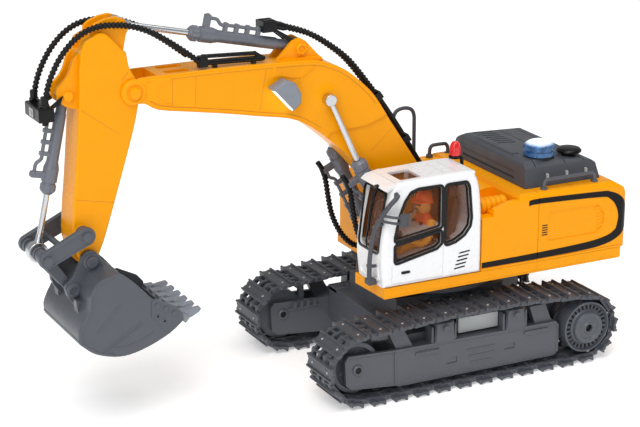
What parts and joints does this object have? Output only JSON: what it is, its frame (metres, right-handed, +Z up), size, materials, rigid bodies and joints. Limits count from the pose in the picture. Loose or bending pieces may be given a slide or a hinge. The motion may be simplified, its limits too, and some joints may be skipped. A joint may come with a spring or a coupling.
{
  "type": "toy tracked excavator",
  "caption": "Radio-controlled toy excavator: tracked undercarriage, slewing house with cab and driver, and a hinged boom, stick and bucket worked by cylinders.",
  "frame": {"origin": "centre of the whole part's footprint, on the ground", "axes": "+X towards the rear of the house, the bucket reaching towards -X; +Y towards the side away from the cab; +Z up"},
  "size_m": [0.4948, 0.175, 0.312],
  "materials": {
    "black_plastic": "satin moulded plastic, near black",
    "track_plastic": "satin moulded plastic, near black with a blue cast",
    "grey_plastic": "satin moulded plastic, dark grey",
    "yellow_plastic": "glossy moulded plastic, orange yellow",
    "white_plastic": "glossy moulded plastic, white",
    "tinted_window": "clear brown tint",
    "silver_rod": "bright plated",
    "link_grey": "satin dark grey paint",
    "black_hose": "matt ribbed rubber",
    "red_lens": "clear red",
    "blue_lens": "clear blue, lit",
    "figure_plastic": "painted figure, orange vest and helmet",
    "black_seat": "matt black plastic",
    "battery_wrap": "shrink-wrapped cells",
    "circuit_green": "coated circuit board",
    "motor_case": "plated steel motor case and gearbox",
    "lamp_grey": "satin grey plastic lamp body"
  },
  "bodies": {
    "undercarriage": {"chassis_frame": "black_plastic", "battery_pack": "battery_wrap", "battery_door": "black_plastic", "track_left": "track_plastic", "track_right": "track_plastic", "track_frame_left": "black_plastic", "track_frame_right": "black_plastic", "drive_motor_left": "motor_case", "drive_motor_right": "motor_case"},
    "power_switch": {"power_switch": "black_plastic"},
    "sprocket_left": {"sprocket_left": "black_plastic"},
    "sprocket_right": {"sprocket_right": "black_plastic"},
    "idler_left": {"idler_left": "black_plastic"},
    "idler_right": {"idler_right": "black_plastic"},
    "house": {"house_floor": "yellow_plastic", "house_shell": "yellow_plastic", "hood": "grey_plastic", "circuit_board": "circuit_green", "slew_motor": "motor_case", "boom_foot_pin": "silver_rod", "cab_shell": "white_plastic", "cab_glazing": "tinted_window", "cab_seat": "black_seat", "driver_figure": "figure_plastic", "control_console": "black_seat", "cab_handrail": "grey_plastic", "cab_mirror": "black_plastic", "wiper": "black_plastic", "side_rail": "black_plastic", "hoop_rail": "black_plastic", "front_rail": "black_plastic", "red_beacon": "red_lens", "blue_beacon": "blue_lens", "exhaust_cap": "black_plastic", "hose_foot_left": "black_hose", "hose_foot_right": "black_hose"},
    "boom": {"boom_left_half": "yellow_plastic", "boom_right_half": "yellow_plastic", "work_light": "lamp_grey", "hose_guard": "black_plastic", "stick_pivot_pin": "silver_rod", "hose_back_left": "black_hose", "hose_back_right": "black_hose"},
    "boom_barrel_left": {"boom_barrel_left": "black_plastic"},
    "boom_barrel_right": {"boom_barrel_right": "black_plastic"},
    "boom_rod_left": {"boom_rod_left": "silver_rod"},
    "boom_rod_right": {"boom_rod_right": "silver_rod"},
    "stick_barrel": {"stick_barrel": "black_plastic"},
    "stick_rod": {"stick_rod": "silver_rod"},
    "stick": {"stick_left_half": "yellow_plastic", "stick_right_half": "yellow_plastic", "bucket_pin": "silver_rod", "hose_stick_left": "black_hose", "hose_stick_right": "black_hose"},
    "bucket_barrel": {"bucket_barrel": "black_plastic"},
    "bucket_rod": {"bucket_rod": "silver_rod"},
    "rocker": {"rocker_link": "link_grey"},
    "push_link": {"push_link": "link_grey"},
    "bucket": {"bucket_shell": "grey_plastic", "bucket_teeth": "grey_plastic"}
  },
  "joints": [
    {"name": "house_slew", "type": "hinge", "parent": "undercarriage", "child": "house", "pos_m": [0.0944, 0, 0.078], "axis": [0, 0, 1], "continuous": true},
    {"name": "boom_lift", "type": "hinge", "parent": "house", "child": "boom", "pos_m": [0.0964, 0, 0.118], "axis": [0, 1, 0], "range_deg": [-20, 20]},
    {"name": "stick_swing", "type": "hinge", "parent": "boom", "child": "stick", "pos_m": [-0.1646, 0, 0.2555], "axis": [0, -1, 0], "range_deg": [-25, 20], "deforming": ["hose_stick_left", "hose_stick_right"]},
    {"name": "bucket_curl", "type": "hinge", "parent": "stick", "child": "bucket", "pos_m": [-0.2036, 0, 0.131], "axis": [0, -1, 0], "range_deg": [-60, 15]},
    {"name": "boom_barrel_left_tilt", "type": "hinge", "parent": "house", "child": "boom_barrel_left", "pos_m": [0.0544, -0.0214, 0.105], "axis": [0, 1, 0], "range_deg": [-21.5, 21.5], "deforming": ["hose_foot_left"]},
    {"name": "boom_rod_left_stroke", "type": "slide", "parent": "boom_barrel_left", "child": "boom_rod_left", "axis": [-0.4287, 0, 0.9034], "range_m": [-0.0156, 0.0156]},
    {"name": "boom_barrel_right_tilt", "type": "hinge", "parent": "house", "child": "boom_barrel_right", "pos_m": [0.0544, 0.0214, 0.105], "axis": [0, 1, 0], "range_deg": [-21.5, 21.5], "deforming": ["hose_foot_right"]},
    {"name": "boom_rod_right_stroke", "type": "slide", "parent": "boom_barrel_right", "child": "boom_rod_right", "axis": [-0.4287, 0, 0.9034], "range_m": [-0.0156, 0.0156]},
    {"name": "stick_barrel_tilt", "type": "hinge", "parent": "boom", "child": "stick_barrel", "pos_m": [-0.0246, 0, 0.2725], "axis": [0, -1, 0], "range_deg": [-3, 3]},
    {"name": "stick_rod_stroke", "type": "slide", "parent": "stick_barrel", "child": "stick_rod", "axis": [-0.9764, 0, 0.2159], "range_m": [-0.021, 0.017]},
    {"name": "bucket_barrel_tilt", "type": "hinge", "parent": "stick", "child": "bucket_barrel", "pos_m": [-0.2136, 0, 0.257], "axis": [0, -1, 0], "range_deg": [-5.5, 1.5]},
    {"name": "bucket_rod_stroke", "type": "slide", "parent": "bucket_barrel", "child": "bucket_rod", "axis": [-0.2152, 0, -0.9766], "range_m": [-0.0265, 0.0068]},
    {"name": "rocker_swing", "type": "hinge", "parent": "stick", "child": "rocker", "pos_m": [-0.2086, 0, 0.153], "axis": [0, -1, 0], "range_deg": [-48.5, 12.3]},
    {"name": "push_link_swing", "type": "hinge", "parent": "rocker", "child": "push_link", "pos_m": [-0.2396, 0, 0.139], "axis": [0, -1, 0], "range_deg": [-7.5, 29]},
    {"name": "sprocket_left_spin", "type": "hinge", "parent": "undercarriage", "child": "sprocket_left", "pos_m": [0.1994, -0.0664, 0.0305], "axis": [0, 1, 0], "continuous": true},
    {"name": "idler_left_spin", "type": "hinge", "parent": "undercarriage", "child": "idler_left", "pos_m": [-0.0106, -0.0664, 0.0305], "axis": [0, 1, 0], "continuous": true},
    {"name": "sprocket_right_spin", "type": "hinge", "parent": "undercarriage", "child": "sprocket_right", "pos_m": [0.1994, 0.0664, 0.0305], "axis": [0, 1, 0], "continuous": true},
    {"name": "idler_right_spin", "type": "hinge", "parent": "undercarriage", "child": "idler_right", "pos_m": [-0.0106, 0.0664, 0.0305], "axis": [0, 1, 0], "continuous": true},
    {"name": "power_switch_slide", "type": "slide", "parent": "undercarriage", "child": "power_switch", "axis": [0, 1, 0], "range_m": [0, 0.006]}
  ],
  "couplings": [
    {"joint": "boom_barrel_left_tilt", "follows": "boom_lift", "ratio": 1.0476},
    {"joint": "boom_rod_left_stroke", "follows": "boom_lift", "m_per_rad": 0.0437},
    {"joint": "boom_barrel_right_tilt", "follows": "boom_lift", "ratio": 1.0476},
    {"joint": "boom_rod_right_stroke", "follows": "boom_lift", "m_per_rad": 0.0437},
    {"joint": "stick_barrel_tilt", "follows": "stick_swing", "ratio": 0.1054},
    {"joint": "stick_rod_stroke", "follows": "stick_swing", "m_per_rad": 0.0472},
    {"joint": "bucket_barrel_tilt", "follows": "bucket_curl", "ratio": 0.0833},
    {"joint": "bucket_rod_stroke", "follows": "bucket_curl", "m_per_rad": 0.025},
    {"joint": "rocker_swing", "follows": "bucket_curl", "ratio": 0.8017},
    {"joint": "push_link_swing", "follows": "bucket_curl", "ratio": -0.477},
    {"joint": "idler_left_spin", "follows": "sprocket_left_spin", "ratio": 1},
    {"joint": "idler_right_spin", "follows": "sprocket_right_spin", "ratio": 1}
  ]
}
